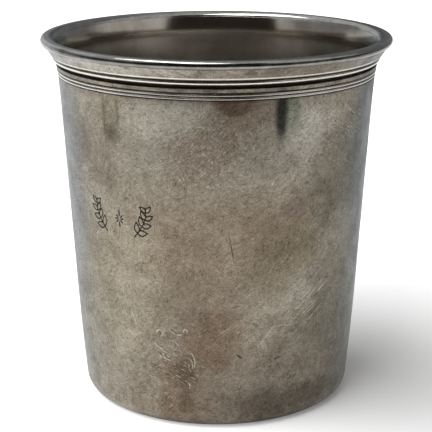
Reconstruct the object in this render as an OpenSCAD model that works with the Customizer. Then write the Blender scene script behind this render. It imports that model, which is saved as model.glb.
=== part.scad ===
// Silver beaker: a tapered wall with a flared mouth that thickens to a heavy,
// rounded lip, a reeded collar under the flare, and a let-in base that stands on
// a narrow ring.
// Lengths are in millimetres. The origin is the centre of the standing ring,
// on the table, with +Z up. Every piece is a revolve about Z.

/* [Cup] */
// Height from the table to the top of the lip
cup_h = 78.6; // [74:0.1:86]
// Outside diameter of the mouth, over the lip
mouth_d = 75; // [73.5:0.5:80]
// Thickness of the silver sheet in the wall, the foot and the base
sheet_t = 0.85; // [0.7:0.05:1.1]

/* [Body] */
// Outside diameter where the wall meets the base curve
foot_d = 58.8; // [56:0.2:61]
// Radius of the curve between the wall and the standing ring
base_curve_r = 3.1; // [2:0.1:4.5]
// Lean of the wall, in degrees, where it leaves the base curve
foot_lean = 5.5; // [2:0.5:8]
// Outside diameter at the hip, where the full lower wall runs out
hip_d = 62.3; // [61.5:0.1:63.5]
// Height of the hip above the table
hip_h = 26; // [18:1:34]
// How far the lower wall swells outside a straight cone
hip_swell = 0.11; // [0:0.01:0.4]
// Outside diameter at the neck, where the straight taper ends
neck_d = 66.9; // [66:0.1:67.6]
// Height of the sprung neck between the straight taper and the collar
neck_h = 6.4; // [3:0.2:10]

/* [Collar and flare] */
// Height from the lowest reed to the top of the lip
rim_h = 8.2; // [7.4:0.1:10]
// Outside diameter under the lowest reed
collar_d = 67.9; // [67.5:0.1:68.4]
// Outside diameter at the throat, where the flare begins
throat_d = 68.66; // [68.5:0.02:69.2]
// Height of each of the two lower reeds
reed_h = 0.7; // [0.5:0.05:0.85]
// Height of the plain strip above the reeds
strip_h = 1; // [0.6:0.1:1.3]
// Height of the deep groove under the bead
groove_h = 0.6; // [0.4:0.05:0.8]
// Height of the half-round bead wire
bead_h = 0.95; // [0.7:0.05:1.1]
// Height of the fine quirk above the bead
quirk_h = 0.16; // [0.1:0.02:0.3]
// How far the flare is hollowed inside a straight cone
flare_hollow = 0.2; // [0.05:0.01:0.3]
// Height of the lip's round outer edge
lip_edge_h = 1.76; // [1.5:0.02:2]
// Where the flare's outer face meets the lip, in degrees below the middle of its edge
lip_seat_angle = 75; // [65:1:85]
// Width of the lip, from its outer edge to the mouth's bore
lip_w = 3.2; // [2.9:0.1:3.5]
// Radius of the curve between the top of the lip and the mouth's bore
lip_inner_r = 1.6; // [1.3:0.05:1.8]
// Lean of the bore, in degrees, where it runs into that curve
lip_inner_lean = 20; // [12:1:26]
// How far the bore of the flare bells in from a straight cone
bore_bell = 0.2; // [0.05:0.01:0.25]

/* [Base] */
// Width of the flat ring that the cup stands on
ring_w = 1.9; // [1.2:0.1:2.6]
// Width of the foot that turns in from the ring to the edge of the base disc
turn_in_w = 2.9; // [2:0.1:5]
// Width of the step where the disc laps the foot
lap_w = 1; // [0.6:0.1:1.6]
// How far the disc's edge is lifted off the table
edge_lift = 0.45; // [0.3:0.05:0.9]
// How far the disc's centre is domed off the table
dome_lift = 1.2; // [1:0.1:2]

/* [Hidden] */
$fn = 96;

// Depths of the turned mouldings, as shares of the sheet that they are cut in
reed_seat_share = 0.42;
groove_share = 0.5;
bead_seat_share = 0.41;
// Backing of the reed band, as a share of the depth of its seat
reed_back_share = 0.5;
// How far the reeds and the bead stand out of the wall's line, by their height
reed_proud_share = 0.04;
bead_proud_share = 0.1;
// Where the groove's floor begins and ends, as shares of its height
groove_floor_shares = [0.3, 0.8];
// Depth of the lap, as a share of the sheet
lap_share = 0.5;
// Bow of the dome, as a share of its rise, that leaves its centre level
dome_bow_share = 0.25;
// Half the height over which the slope of the wall's line is taken
slope_span = reed_h / 4;
// Steps in each curved stretch of an outline
swell_steps = 5;
flare_steps = 7;
curve_steps = 12;
lip_steps = 16;
dome_steps = 6;

// Radii at the stations of the wall
foot_r = foot_d / 2;
lip_edge_r = lip_edge_h / 2;
base_curve_c = [foot_r - base_curve_r, base_curve_r];
ring_inner_r = base_curve_c[0] - ring_w;
disc_r = ring_inner_r - turn_in_w;

// Heights of the mouldings, from the lowest reed up
collar_z = cup_h - rim_h;
reed_top_z = collar_z + 2 * reed_h;
throat_z = reed_top_z + strip_h;
bead_low_z = throat_z + groove_h;
bead_top_z = bead_low_z + bead_h;
quirk_top_z = bead_top_z + quirk_h;

// A point at a radius and an angle from a centre
function polar(c, r, a) = c + r * [cos(a), sin(a)];
// Points of an arc about a centre, from one angle to another
function arc(c, r, a0, a1, n) = [for (i = [0:n]) polar(c, r, a0 + (a1 - a0) * i / n)];
// Unit normal on the right-hand side of the way from p to q
function right_of(p, q) = [q[1] - p[1], p[0] - q[0]] / norm(q - p);
// A shallow curve from p to q that stands out to the right by a given bow
function bowed(p, q, bow, n) =
    [for (i = [0:n]) p + (q - p) * i / n + right_of(p, q) * bow * 4 * i / n * (1 - i / n)];

// The stations of the wall's outer line
foot_pt = polar(base_curve_c, base_curve_r, -foot_lean);
hip_pt = [hip_d / 2, hip_h];
neck_pt = [neck_d / 2, collar_z - neck_h];
collar_pt = [collar_d / 2, collar_z];
throat_pt = [throat_d / 2, throat_z];
lip_c = [mouth_d / 2 - lip_edge_r, cup_h - lip_edge_r];
flare_pt = polar(lip_c, lip_edge_r, -lip_seat_angle);
swell_line = bowed(foot_pt, hip_pt, hip_swell, swell_steps);
flare_line = bowed(throat_pt, flare_pt, -flare_hollow, flare_steps);
outer_line = concat(swell_line, [neck_pt, collar_pt], flare_line);

// The wall's outer radius at a height
function outer_r(z) = lookup(z, [for (p = outer_line) [p[1], p[0]]]);
// The point on the wall's outer line at a height
function outer_pt(z) = [outer_r(z), z];
// A point that lies a depth inside the wall's outer line, square to its slope
function sunk(z, depth) =
    outer_pt(z) - depth * right_of(outer_pt(z - slope_span), outer_pt(z + slope_span));

// The bore of the flare, which thickens from the sheet at the throat to the lip
lip_inner_c = [mouth_d / 2 - lip_w + lip_inner_r, cup_h - lip_inner_r];
bore_top_pt = polar(lip_inner_c, lip_inner_r, 180 - lip_inner_lean);
throat_inner_pt = sunk(throat_z, sheet_t);

// The turned outline of the wall, from the foot's lap up to the seat of the lip
module wall_outline() {
    reed_seat = sheet_t * reed_seat_share;
    groove = sheet_t * groove_share;
    bead_seat = sheet_t * bead_seat_share;
    groove_z = [for (s = groove_floor_shares) throat_z + groove_h * s];
    flare_rise = flare_pt[1] - quirk_top_z;
    polygon(concat(
        [[disc_r - lap_w, edge_lift], [ring_inner_r, 0]],
        arc(base_curve_c, base_curve_r, -90, -foot_lean, curve_steps),
        [for (i = [1:swell_steps]) swell_line[i]],
        [neck_pt, collar_pt],
        [sunk(collar_z, reed_seat), sunk(reed_top_z, reed_seat), sunk(reed_top_z, 0), throat_pt],
        [for (z = groove_z) sunk(z, groove)],
        [sunk(bead_low_z, bead_seat), sunk(bead_top_z, bead_seat)],
        [for (i = [0:flare_steps]) sunk(quirk_top_z + flare_rise * i / flare_steps, 0)],
        bowed(bore_top_pt, throat_inner_pt, bore_bell, flare_steps),
        [sunk(collar_z, sheet_t), sunk(neck_pt[1], sheet_t)],
        [for (i = [swell_steps:-1:1]) swell_line[i] - [sheet_t, 0]],
        arc(base_curve_c, base_curve_r - sheet_t, -foot_lean, -90, curve_steps),
        [[ring_inner_r, sheet_t], [disc_r, edge_lift + sheet_t]],
        [[disc_r, edge_lift + sheet_t * lap_share], [disc_r - lap_w, edge_lift + sheet_t * lap_share]]
    ));
}

// Wall, from the turned-in foot to the thickened edge of the flare
module cup_wall() {
    color("silver")
        rotate_extrude() wall_outline();
}

// Domed disc that closes the foot and laps its inner edge
module base_disc() {
    rim_low = [disc_r - lap_w, edge_lift];
    bow = (dome_lift - edge_lift) * dome_bow_share;
    under = bowed([0, dome_lift], rim_low, -bow, dome_steps);
    upper = bowed([disc_r, edge_lift + sheet_t], [0, dome_lift + sheet_t], bow, dome_steps);
    color("gainsboro")
        rotate_extrude()
            polygon(concat(
                under,
                [rim_low + [0, sheet_t * lap_share], [disc_r, edge_lift + sheet_t * lap_share]],
                upper
            ));
}

// Heavy moulded wire that caps the edge of the flare
module lip_wire() {
    color("lightgray")
        rotate_extrude()
            polygon(concat(
                arc(lip_c, lip_edge_r, -lip_seat_angle, 90, lip_steps),
                arc(lip_inner_c, lip_inner_r, 90, 180 - lip_inner_lean, lip_steps)
            ));
}

// The space outside a turned seat, between two heights
module above_seat(low_z, top_z, seat) {
    reach = top_z - low_z;
    polygon([sunk(low_z, seat), sunk(low_z, -reach), sunk(top_z, -reach), sunk(top_z, seat)]);
}

// One round wire of a given height, standing out of the wall's line by a share of it
module round_wire(low_z, height, proud_share) {
    wire_r = height / 2;
    translate(sunk(low_z + wire_r, wire_r - height * proud_share))
        circle(wire_r);
}

// Half-round wire seated on the foot of the flare
module bead_wire() {
    color("lightgray")
        rotate_extrude()
            intersection() {
                round_wire(bead_low_z, bead_h, bead_proud_share);
                above_seat(bead_low_z, bead_top_z, sheet_t * bead_seat_share);
            }
}

// Band of two fine reeds, let in flush round the collar
module reed_band() {
    seat = sheet_t * reed_seat_share;
    back = seat * (1 - reed_back_share);
    color("lightgray")
        rotate_extrude() {
            polygon([
                sunk(collar_z, seat),
                sunk(collar_z, back),
                sunk(reed_top_z, back),
                sunk(reed_top_z, seat)
            ]);
            intersection() {
                for (i = [0:1]) round_wire(collar_z + reed_h * i, reed_h, reed_proud_share);
                above_seat(collar_z, reed_top_z, seat);
            }
        }
}

cup_wall();
base_disc();
lip_wire();
bead_wire();
reed_band();
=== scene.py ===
"""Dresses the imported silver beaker: its worn surfaces and engraving, the studio and the camera.

Lengths in the classes are millimetres and angles are degrees, unless a name says otherwise. An azimuth of
0 faces the camera (-Y) and grows towards +X.
"""

import logging
import math
from dataclasses import dataclass
from enum import Enum
from typing import Callable, ClassVar, Iterable, Optional, Sequence, Union

import bmesh
import bpy
import numpy as np
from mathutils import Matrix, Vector


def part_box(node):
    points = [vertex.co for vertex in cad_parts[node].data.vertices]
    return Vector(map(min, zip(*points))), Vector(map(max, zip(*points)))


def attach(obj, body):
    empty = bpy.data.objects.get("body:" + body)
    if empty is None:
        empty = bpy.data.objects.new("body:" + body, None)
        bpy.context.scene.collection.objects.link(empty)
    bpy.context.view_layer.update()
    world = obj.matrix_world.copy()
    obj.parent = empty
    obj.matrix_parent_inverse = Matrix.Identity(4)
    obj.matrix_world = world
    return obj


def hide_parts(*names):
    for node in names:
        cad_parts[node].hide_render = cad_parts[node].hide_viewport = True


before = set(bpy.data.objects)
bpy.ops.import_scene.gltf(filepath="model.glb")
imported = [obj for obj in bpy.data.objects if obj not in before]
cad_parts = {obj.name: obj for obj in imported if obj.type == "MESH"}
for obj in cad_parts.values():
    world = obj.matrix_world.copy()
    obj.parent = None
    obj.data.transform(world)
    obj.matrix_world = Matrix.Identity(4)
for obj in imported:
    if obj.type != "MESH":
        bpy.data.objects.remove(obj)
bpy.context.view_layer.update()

log = logging.getLogger("beaker")

MM = 0.001
# How many millimetres one unit of a piece's UV map spans
SKIN_SPAN = 240.0
# Radius at which the UV map's arcs are measured
SKIN_RADIUS = 33.0
BODY = "root"
WHITE = (1.0, 1.0, 1.0, 1.0)
# How close two points count as one, in metres
MERGE_REACH_M = 1e-7

Feed = Union[bpy.types.NodeSocket, float, int, tuple]
Inputs = dict[Union[str, int], Feed]
Pair = tuple[float, float]


class Slot(Enum):
    """The record's material slots."""

    WALL = "wall_silver"
    BASE = "base_silver"
    LIP = "lip_silver"
    MOULDING = "moulding_silver"


class Mark(Enum):
    """The point attributes that tell a finish where the shape is worn or cut, and where its grooves get grime
    and painted shade.
    """

    OUTSIDE = "outside"
    CREVICE = "crevice"
    ENGRAVED = "engraved"


@dataclass(frozen=True)
class Tint:
    """A colour, given by its red, green and blue on a screen, from 0 to 255."""

    red: float
    green: float
    blue: float

    def linear(self) -> tuple[float, float, float, float]:
        """The colour as the linear values that shaders take."""
        shares = [value / 255 for value in (self.red, self.green, self.blue)]
        low = [s / 12.92 for s in shares]
        high = [((s + 0.055) / 1.055) ** 2.4 for s in shares]
        return (*(lo if s <= 0.04045 else hi for s, lo, hi in zip(shares, low, high)), 1.0)


class Graph:
    """Short ways to add and join the nodes of one tree."""

    def __init__(self, tree: bpy.types.NodeTree) -> None:
        """Starts on a tree.

        Args:
            tree: The shader or geometry tree that takes the nodes.
        """
        self.tree = tree

    def node(self, kind: str, inputs: Optional[Inputs] = None, **settings: object) -> bpy.types.Node:
        """Adds a node, sets its options and feeds its inputs.

        Args:
            kind: The node's type name.
            inputs: What goes into its sockets, by name or number.
            settings: Its options, by attribute name.

        Returns:
            The node.
        """
        made = self.tree.nodes.new(kind)
        for name, value in settings.items():
            setattr(made, name, value)
        for key, value in (inputs or {}).items():
            self.feed(made.inputs[key], value)
        return made

    def parts(self, vector: Feed) -> bpy.types.NodeOutputs:
        """The three numbers of a vector, as sockets."""
        return self.node("ShaderNodeSeparateXYZ", {0: vector}).outputs

    def feed(self, socket: bpy.types.NodeSocket, value: Feed) -> None:
        """Links a socket into an input, or sets the input's own value."""
        if isinstance(value, bpy.types.NodeSocket):
            self.tree.links.new(value, socket)
        else:
            socket.default_value = value

    def math(self, operation: str, *values: Feed, clamp: bool = False) -> bpy.types.NodeSocket:
        """One step of arithmetic.

        Args:
            operation: Blender's name for it.
            values: Its inputs, in order.
            clamp: Whether the result is kept from 0 to 1.

        Returns:
            The result's socket.
        """
        step = self.node("ShaderNodeMath", operation=operation, use_clamp=clamp)
        for socket, value in zip(step.inputs, values):
            self.feed(socket, value)
        return step.outputs[0]

    def product(self, *values: Feed) -> bpy.types.NodeSocket:
        """All of the values multiplied."""
        total, *others = values
        for value in others:
            total = self.math("MULTIPLY", total, value)
        return total

    def azimuth(self, parts: bpy.types.NodeOutputs) -> bpy.types.NodeSocket:
        """The azimuth of a direction from its three numbers, in radians."""
        return self.math("ARCTAN2", parts[0], self.product(parts[1], -1.0))

    def vector(
        self, operation: str, first: Feed, second: Optional[Feed] = None, scale: Optional[Feed] = None
    ) -> bpy.types.NodeSocket:
        """One step of vector arithmetic.

        Args:
            operation: Blender's name for it.
            first: The first vector.
            second: The second vector, where there is one.
            scale: The factor, where there is one.

        Returns:
            The result's socket, a number where the step gives one.
        """
        step = self.node("ShaderNodeVectorMath", {0: first}, operation=operation)
        if second is not None:
            self.feed(step.inputs[1], second)
        if scale is not None:
            self.feed(step.inputs["Scale"], scale)
        return step.outputs["Value" if operation in ("LENGTH", "DISTANCE", "DOT_PRODUCT") else "Vector"]

    def span(
        self, value: Feed, low: Feed, high: Feed, to_low: Feed = 0.0, to_high: Feed = 1.0
    ) -> bpy.types.NodeSocket:
        """Eases a value from one range into another, and holds it there at both ends."""
        ends = {"Value": value, "From Min": low, "From Max": high, "To Min": to_low, "To Max": to_high}
        return self.node("ShaderNodeMapRange", ends, interpolation_type="SMOOTHSTEP").outputs[0]

    def mix(self, share: Feed, under: Feed, over: Feed) -> bpy.types.NodeSocket:
        """Lays one colour over another.

        Args:
            share: How much of the upper one shows.
            under: The lower colour.
            over: The upper colour.

        Returns:
            The resulting colour.
        """
        step = self.node("ShaderNodeMix", data_type="RGBA", clamp_factor=True)
        inputs = {socket.identifier: socket for socket in step.inputs}
        self.feed(inputs["Factor_Float"], share)
        self.feed(inputs["A_Color"], under)
        self.feed(inputs["B_Color"], over)
        return next(socket for socket in step.outputs if socket.identifier == "Result_Color")

    def noise(
        self, place: Feed, grain: float, detail: float = 2.0, roughness: float = 0.5, warp: float = 0.0
    ) -> bpy.types.NodeSocket:
        """Soft noise in a place given in millimetres.

        Args:
            place: The point.
            grain: The size of one blotch.
            detail: How many finer layers it has.
            roughness: How strong the finer layers are.
            warp: How far it is distorted.

        Returns:
            A value about 0.5.
        """
        form = {"Detail": detail, "Roughness": roughness, "Distortion": warp}
        return self.node("ShaderNodeTexNoise", {"Vector": place, "Scale": 1 / grain, **form}).outputs[0]

    def attribute(self, mark: Mark) -> bpy.types.NodeSocket:
        """The value of one of the mesh's marks."""
        return self.node("ShaderNodeAttribute", attribute_name=mark.value).outputs["Fac"]

    def stretched(
        self, place: Feed, angle: float, length: float, width: float, offset: float = 0.0
    ) -> bpy.types.NodeSocket:
        """A flat place, turned and drawn in so that noise on it makes strokes.

        Args:
            place: The point in the flat.
            angle: The strokes' direction.
            length: The strokes' length.
            width: The strokes' width.
            offset: Moves the pattern, so that two of them differ.

        Returns:
            The new point, in which a stroke is one unit long and wide.
        """
        turning = {"Vector": place, "Angle": -math.radians(angle)}
        turned = self.node("ShaderNodeVectorRotate", turning, rotation_type="Z_AXIS")
        drawn = self.vector("MULTIPLY", turned.outputs[0], (1 / length, 1 / width, 1.0))
        return self.vector("ADD", drawn, (offset, offset, offset))


@dataclass(frozen=True)
class WallSpot:
    """Something at a place on the outside of the wall."""

    azimuth: float
    height: float

    def near(self, graph: Graph, place: Feed) -> bpy.types.NodeSocket:
        """A point on the unrolled wall as seen from the spot's middle, in millimetres."""
        centre = (math.radians(self.azimuth) * SKIN_RADIUS, self.height, 0.0)
        return graph.vector("SUBTRACT", place, centre)


@dataclass(frozen=True)
class TintPatch(WallSpot):
    """A soft patch of colour on the outside of the wall, mostly tarnish and lines of wear; a few paint shade
    and reflections.
    """

    wide: float
    tall: float
    turn: float
    tint: Tint
    strength: float
    edge: float = 0.6

    def mask(self, graph: Graph, place: Feed) -> bpy.types.NodeSocket:
        """Where the patch lies, from 0 to 1.

        Args:
            graph: The tree that takes the nodes.
            place: The point on the unrolled wall.

        Returns:
            The mask.
        """
        local = graph.stretched(self.near(graph, place), self.turn, self.wide, self.tall)
        distance = graph.vector("LENGTH", local)
        return graph.product(graph.span(distance, 1 + self.edge, 1 - self.edge), self.strength)


@dataclass(frozen=True)
class Scuff(WallSpot):
    """A field of scratches that lie much the same way, on the outside of the wall."""

    wide: float
    tall: float
    angle: float
    length: float
    width: float
    cover: float

    # Where the field has faded out and where it is full, by its half width and height
    FIELD_EDGE: ClassVar[Pair] = (1.3, 0.4)
    # The noise at which a scratch starts and is full, at a cover of 0
    STROKE_LIMITS: ClassVar[Pair] = (0.72, 0.8)

    def mask(self, graph: Graph, place: Feed, offset: float) -> bpy.types.NodeSocket:
        """Where its scratches lie, from 0 to 1.

        Args:
            graph: The tree that takes the nodes.
            place: The point on the unrolled wall.
            offset: Sets it apart from other fields.

        Returns:
            The mask.
        """
        near = graph.stretched(self.near(graph, place), 0.0, self.wide, self.tall)
        field_share = graph.span(graph.vector("LENGTH", near), *self.FIELD_EDGE)
        drawn = graph.stretched(place, self.angle, self.length, self.width, offset)
        limits = (limit - self.cover for limit in self.STROKE_LIMITS)
        return graph.product(graph.span(graph.noise(drawn, 1.0, 1.0), *limits), field_share)


@dataclass(frozen=True)
class Scrape(WallSpot):
    """A short curved scrape on the outside of the wall, light with a dark edge."""

    radius: float
    middle: float
    half_sweep: float
    width: float
    strength: float

    # How much of the half sweep is full, before the end tapers
    FULL_SWEEP: ClassVar[float] = 0.6
    # The size of the gaps in it, and the noise between which they close
    GAP_SIZE: ClassVar[float] = 0.7
    GAP_LIMITS: ClassVar[Pair] = (0.3, 0.5)
    # How far in its dark edge lies and how wide a line's core is, by the width
    DARK_SHIFT: ClassVar[float] = 1.3
    CORE: ClassVar[float] = 0.3

    def over(self, graph: Graph, place: Feed, under: Feed) -> bpy.types.NodeSocket:
        """Lays the scrape over the colour so far.

        Args:
            graph: The tree that takes the nodes.
            place: The point on the unrolled wall.
            under: The colour so far.

        Returns:
            The new colour.
        """
        near = self.near(graph, place)
        middle, sweep = math.radians(self.middle), math.radians(self.half_sweep)
        way = (math.cos(middle), math.sin(middle), 0.0)
        toward = graph.vector("DOT_PRODUCT", graph.vector("NORMALIZE", near), way)
        along = graph.span(toward, math.cos(sweep), math.cos(sweep * self.FULL_SWEEP), 0.0, self.strength)
        gaps = graph.noise(place, self.GAP_SIZE, 1.0)
        along = graph.product(along, graph.span(gaps, *self.GAP_LIMITS))
        off = graph.math("SUBTRACT", graph.vector("LENGTH", near), self.radius)
        for shift, tint in ((0.0, LIGHT_LINE), (self.width * self.DARK_SHIFT, DARK_LINE)):
            away = graph.math("ABSOLUTE", graph.math("ADD", off, shift))
            line = graph.product(graph.span(away, self.width, self.width * self.CORE), along)
            under = graph.mix(line, under, tint.linear())
        return under


@dataclass(frozen=True)
class RingLine:
    """A ring round the outside, of grime, rubbing, painted shade or a painted highlight, which may widen and
    fade from the front to the sides.
    """

    height: float
    half: float
    strength: float
    side_height: float
    side_half: float
    side_strength: float

    # Where the ring has faded out and where it is full, by its half height
    EDGE: ClassVar[Pair] = (1.35, 0.7)

    def mask(self, graph: Graph, height: Feed, aside: Feed) -> bpy.types.NodeSocket:
        """Where the ring lies, from 0 to 1.

        Args:
            graph: The tree that takes the nodes.
            height: The point's height, in millimetres.
            aside: 0 at the front and 1 from the sides on.

        Returns:
            The mask.
        """
        middle = graph.span(aside, 0.0, 1.0, self.height, self.side_height)
        half = graph.span(aside, 0.0, 1.0, self.half, self.side_half)
        strength = graph.span(aside, 0.0, 1.0, self.strength, self.side_strength)
        away = graph.math("DIVIDE", graph.math("ABSOLUTE", graph.math("SUBTRACT", height, middle)), half)
        return graph.product(graph.span(away, *self.EDGE), strength)


# Dark rings: on the lip, painted reflection and shade; in the collar's grooves, painted shade with some
# grime.
SHADE_AND_SOOT_LINES = (
    RingLine(77.79, 0.24, 1.0, 77.5, 0.4, 0.5),
    RingLine(77.3, 0.4, 0.45, 77.1, 0.5, 0.55),
    RingLine(74.6, 0.085, 0.9, 74.6, 0.085, 0.8),
    RingLine(73.05, 0.28, 1.0, 73.05, 0.26, 0.9),
    RingLine(71.92, 0.15, 1.0, 71.92, 0.12, 0.75),
    RingLine(71.3, 0.085, 0.9, 71.26, 0.08, 0.75),
    RingLine(70.54, 0.1, 1.0, 70.5, 0.09, 0.8),
)

# Light rings of rubbing that also paint highlights on the flare's foot, the bead and the reeds.
RUB_AND_HIGHLIGHT_LINES = (
    RingLine(74.9, 0.12, 0.9, 74.9, 0.14, 0.8),
    RingLine(74.0, 0.2, 0.8, 74.0, 0.18, 0.7),
    RingLine(71.6, 0.15, 1.0, 71.58, 0.13, 0.7),
    RingLine(70.9, 0.13, 1.0, 70.88, 0.12, 0.6),
)


@dataclass(frozen=True)
class SilverFinish:
    """Old silver: tarnish in soft blotches, a grain of wear, pits, grime and painted shade in the crevices,
    and painted rings of shade, reflection and highlight.
    """

    slot: Slot
    pale: Tint
    deep: Tint
    soot_and_shade_tint: Tint
    roughness: float
    blotch: float = 13.0
    grain_depth: float = 0.32
    pit_cover: float = 0.18
    bump: float = 0.25
    edge_tint: Tint = Tint(255, 255, 255)

    # How large and how strong the swirls are that bend the grain's strokes
    SWIRL_SIZE: ClassVar[float] = 9.0
    SWIRL_REACH: ClassVar[float] = 5.0
    STROKE_ANGLES: ClassVar[tuple[float, ...]] = (8.0, 121.0, 47.0, 157.0, 83.0, 28.0)
    STROKE_LENGTH: ClassVar[float] = 1.5
    STROKE_WIDTH: ClassVar[float] = 0.22
    STROKE_SHIFT: ClassVar[float] = 7.0
    STROKE_LIMITS: ClassVar[Pair] = (0.45, 0.8)
    DUST_SIZE: ClassVar[float] = 0.24
    DUST_SHARE: ClassVar[float] = 1.2
    PITS_PER_MM: ClassVar[float] = 0.55
    PIT_EDGE: ClassVar[Pair] = (0.09, 0.04)
    # The tarnish: its specks, how much they and the clouds count, and the tones from deep to pale
    SPECK_SIZE: ClassVar[float] = 2.6
    CLOUD_SHARE: ClassVar[float] = 0.6
    SPECK_SHARE: ClassVar[float] = 0.4
    TONES: ClassVar[Pair] = (0.36, 0.64)
    # The turns from the front between which the rings change to their side form
    ASIDE: ClassVar[Pair] = (32, 75)
    # The size of a ring's uneven stretches, the noise that they follow, and how faint they get
    UNEVEN_SIZE: ClassVar[float] = 4.0
    UNEVEN_LIMITS: ClassVar[Pair] = (0.3, 0.6)
    FAINTEST: ClassVar[float] = 0.8
    # The size of duller and brighter patches, the noise that they follow, and how far they differ
    SHEEN_SIZE: ClassVar[float] = 5.0
    SHEEN_LIMITS: ClassVar[Pair] = (0.35, 0.65)
    SHEEN_SPREAD: ClassVar[float] = 0.05
    SOOT_AND_SHADE_SHARE: ClassVar[float] = 0.93
    RUB_AND_HIGHLIGHT_SHARE: ClassVar[float] = 0.85
    SOOT_AND_SHADE_ROUGHNESS: ClassVar[float] = 0.25
    # How high the bumps are, and the grain's share of them
    RELIEF: ClassVar[float] = 0.04
    GRAIN_RELIEF: ClassVar[float] = 0.5

    def skin(self, graph: Graph) -> bpy.types.NodeSocket:
        """The point on the piece's unrolled surface, in millimetres."""
        unrolled = graph.node("ShaderNodeUVMap", uv_map="skin").outputs[0]
        return graph.vector("SCALE", unrolled, scale=SKIN_SPAN)

    def solid(self, graph: Graph) -> bpy.types.NodeSocket:
        """The point in the object, in millimetres."""
        here = graph.node("ShaderNodeTexCoord").outputs["Object"]
        return graph.vector("SCALE", here, scale=1 / MM)

    def grain(self, graph: Graph, place: Feed) -> bpy.types.NodeSocket:
        """Fine strokes of wear that run every way, some light and some dark.

        Args:
            graph: The tree that takes the nodes.
            place: The point on the unrolled surface.

        Returns:
            A value about 0, above it on light strokes and below it on dark ones.
        """
        swirl = graph.node("ShaderNodeTexNoise", {"Vector": place, "Scale": 1 / self.SWIRL_SIZE})
        pushed = graph.vector("SCALE", swirl.outputs["Color"], scale=self.SWIRL_REACH)
        bent = graph.vector("ADD", place, pushed)
        total: Feed = 0.0
        for turn, angle in enumerate(self.STROKE_ANGLES):
            shift = self.STROKE_SHIFT * turn
            drawn = graph.stretched(bent, angle, self.STROKE_LENGTH, self.STROKE_WIDTH, shift)
            strokes = graph.span(graph.noise(drawn, 1.0, 1.0), *self.STROKE_LIMITS)
            total = graph.math("ADD", total, graph.product(strokes, 1.0 if turn % 2 else -1.0))
        dust = graph.math("SUBTRACT", graph.noise(place, self.DUST_SIZE, 1.0), 0.5)
        return graph.math("ADD", total, graph.product(dust, self.DUST_SHARE))

    def pits(self, graph: Graph, place: Feed) -> bpy.types.NodeSocket:
        """Scattered pin-holes, from 0 to 1."""
        cells = graph.node("ShaderNodeTexVoronoi", {"Vector": place, "Scale": self.PITS_PER_MM})
        dots = graph.span(cells.outputs["Distance"], *self.PIT_EDGE)
        chance = graph.node("ShaderNodeSeparateColor", {0: cells.outputs["Color"]})
        return graph.product(dots, graph.math("LESS_THAN", chance.outputs[0], self.pit_cover))

    def colour(self, graph: Graph, solid: Feed, skin: Feed) -> bpy.types.NodeSocket:
        """The blotched colour of the metal, before grain, pits, grime and the painted shade and highlights.

        Args:
            graph: The tree that takes the nodes.
            solid: The point in the object.
            skin: The point on the unrolled surface; not used here.

        Returns:
            The colour.
        """
        clouds = graph.noise(solid, self.blotch, detail=4.0, roughness=0.6, warp=0.6)
        specks = graph.noise(solid, self.SPECK_SIZE, detail=4.0, roughness=0.7)
        shares = graph.product(clouds, self.CLOUD_SHARE), graph.product(specks, self.SPECK_SHARE)
        tone = graph.math("ADD", *shares)
        return graph.mix(graph.span(tone, *self.TONES), self.deep.linear(), self.pale.linear())

    def rings(self, graph: Graph, solid: Feed, lines: Sequence[RingLine]) -> bpy.types.NodeSocket:
        """The strongest of some rings round the outside, from 0 to 1, a little uneven."""
        parts = graph.parts(solid)
        turn = graph.math("ABSOLUTE", graph.azimuth(parts))
        aside = graph.span(turn, *(math.radians(angle) for angle in self.ASIDE))
        total: Feed = 0.0
        for line in lines:
            total = graph.math("MAXIMUM", total, line.mask(graph, parts[2], aside))
        fade = graph.span(graph.noise(solid, self.UNEVEN_SIZE), *self.UNEVEN_LIMITS, self.FAINTEST, 1.0)
        return graph.product(total, fade, graph.attribute(Mark.OUTSIDE))

    def roughness_at(self, graph: Graph, solid: Feed) -> Feed:
        """How rough the metal is, before the grime and painted shade add their dullness."""
        clouds = graph.noise(solid, self.SHEEN_SIZE, detail=3.0)
        ends = self.roughness - self.SHEEN_SPREAD, self.roughness + self.SHEEN_SPREAD
        return graph.span(clouds, *self.SHEEN_LIMITS, *ends)

    def material(self) -> bpy.types.Material:
        """Builds the finish.

        Returns:
            A material with its own nodes.
        """
        made = bpy.data.materials.new(self.slot.value + "_worn")
        made.use_nodes = True
        made.node_tree.nodes.clear()
        graph = Graph(made.node_tree)
        solid, skin = self.solid(graph), self.skin(graph)
        grain, pits = self.grain(graph, skin), self.pits(graph, solid)
        # Grime and painted shade in the grooves, with the dark rings of painted shade and reflection
        soot_and_shade = graph.math("MAXIMUM", graph.attribute(Mark.CREVICE), self.rings(graph, solid, SHADE_AND_SOOT_LINES))
        colour = self.colour(graph, solid, skin)
        light = graph.math("ADD", graph.product(grain, self.grain_depth), 1.0)
        colour = graph.vector("SCALE", colour, scale=light)
        colour = graph.mix(pits, colour, self.soot_and_shade_tint.linear())
        colour = graph.mix(graph.product(soot_and_shade, self.SOOT_AND_SHADE_SHARE), colour, self.soot_and_shade_tint.linear())
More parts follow.
